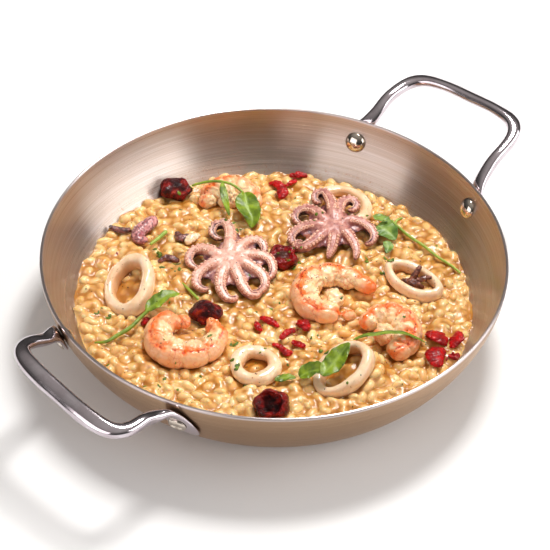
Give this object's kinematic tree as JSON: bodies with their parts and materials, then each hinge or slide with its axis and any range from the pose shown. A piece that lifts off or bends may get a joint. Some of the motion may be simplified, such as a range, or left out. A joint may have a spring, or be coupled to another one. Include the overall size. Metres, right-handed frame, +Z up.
{
  "type": "pan of seafood risotto",
  "caption": "Two-handled steel pan of creamy risotto topped with baby octopus, prawns, squid rings, tomatoes and herbs.",
  "frame": {"origin": "centre of the pan's flat base, on the surface it stands on", "axes": "+Z up through the middle of the pan; +X towards one handle, the other handle at -X"},
  "size_m": [0.3415, 0.26, 0.0706],
  "materials": {
    "pan_steel": "circular brushed stainless steel with a warm tint and a thin polished rim",
    "handle_steel": "polished stainless steel strap and rivets",
    "rice": "creamy cooked rice grains in a glossy golden sauce",
    "octopus": "moist pale pink flesh with mauve sucker rows and dark tips",
    "tentacle": "moist dark maroon tentacle flesh",
    "prawn": "moist peach flesh with orange streaks along the back",
    "squid": "smooth glossy ivory squid",
    "roast_tomato": "wrinkled glossy maroon roasted skin with orange patches",
    "dried_tomato": "wrinkled glossy deep red dried tomato",
    "herb": "fresh green leaf with paler veins and a soft sheen"
  },
  "bodies": {
    "root": {"blade_right": "herb", "chive_left": "herb", "dried_tomato_bit_1": "dried_tomato", "dried_tomato_bit_2": "dried_tomato", "dried_tomato_bit_3": "dried_tomato", "dried_tomato_bit_4": "dried_tomato", "dried_tomato_bit_5": "dried_tomato", "dried_tomato_bit_6": "dried_tomato", "dried_tomato_bit_7": "dried_tomato", "dried_tomato_cup": "dried_tomato", "dried_tomato_edge": "dried_tomato", "dried_tomato_petal_front": "dried_tomato", "dried_tomato_petal_left": "dried_tomato", "dried_tomato_petal_right": "dried_tomato", "dried_tomato_petal_tail": "dried_tomato", "dried_tomato_strip_back": "dried_tomato", "dried_tomato_tail_back": "dried_tomato", "handle_far": "handle_steel", "handle_near": "handle_steel", "leaf_front_broad": "herb", "leaf_front_folded": "herb", "leaf_front_narrow": "herb", "leaf_right_lower": "herb", "leaf_right_middle": "herb", "leaf_right_upper": "herb", "octopus_left": "octopus", "octopus_right": "octopus", "pan": "pan_steel", "prawn_back": "prawn", "prawn_centre": "prawn", "prawn_front_left": "prawn", "prawn_right": "prawn", "risotto": "rice", "rivet_1": "handle_steel", "rivet_2": "handle_steel", "rivet_3": "handle_steel", "rivet_4": "handle_steel", "roast_tomato_back": "roast_tomato", "roast_tomato_centre": "roast_tomato", "roast_tomato_front": "roast_tomato", "sprig_back": "herb", "sprig_left": "herb", "sprig_right": "herb", "squid_curl": "tentacle", "squid_ring_back": "squid", "squid_ring_front": "squid", "squid_ring_front_right": "squid", "squid_ring_left": "squid", "squid_ring_right": "squid", "squid_scrap": "squid", "stem_middle": "herb", "tentacle_back": "tentacle", "tentacle_bunch": "tentacle", "tentacle_left": "tentacle", "tentacle_middle": "tentacle"}
  },
  "joints": []
}
